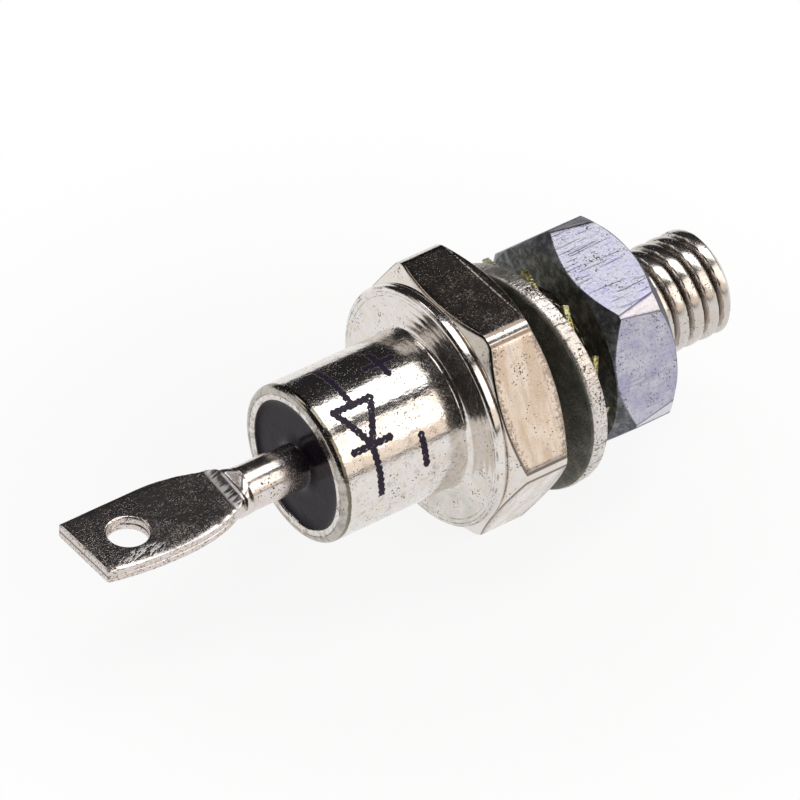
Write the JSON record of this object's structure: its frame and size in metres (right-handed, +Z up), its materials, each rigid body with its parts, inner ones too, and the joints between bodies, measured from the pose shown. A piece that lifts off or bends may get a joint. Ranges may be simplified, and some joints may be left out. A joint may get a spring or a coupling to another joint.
{
  "type": "fast recovery diode",
  "caption": "Stud-mounted fast recovery diode with a hex base, welded can, glass seal, flattened solder lug and loose mounting hardware.",
  "frame": {"origin": "on the surface that the part lies on, under the middle of its length", "axes": "+X along the axis towards the free end of the stud, +Z up from the hex flat that it lies on, square to the lug's face"},
  "size_m": [0.032, 0.0124, 0.011],
  "materials": {
    "nickel_base": "bright nickel plate with small pits",
    "nickel_cap": "bright nickel plate with small pits",
    "seal_glass": "dark glossy glass",
    "nickel_lug": "scratched nickel plate",
    "silicon": "polished silicon",
    "solder": "dull lead-tin solder",
    "molybdenum": "ground molybdenum",
    "copper": "bare copper",
    "zinc_washer": "zinc plate with a sheared rim",
    "yellow_zinc": "yellow chromate on zinc plate",
    "blue_zinc": "satin zinc plate with a blue cast"
  },
  "bodies": {
    "root": {"stud_base": "nickel_base", "weld_cap": "nickel_cap", "glass_seal": "seal_glass", "terminal_lug": "nickel_lug", "silicon_die": "silicon", "lower_solder": "solder", "upper_solder": "solder", "contact_disc": "molybdenum", "inner_lead": "copper", "flat_washer": "zinc_washer", "lock_washer": "yellow_zinc", "hex_nut": "blue_zinc"}
  },
  "joints": []
}
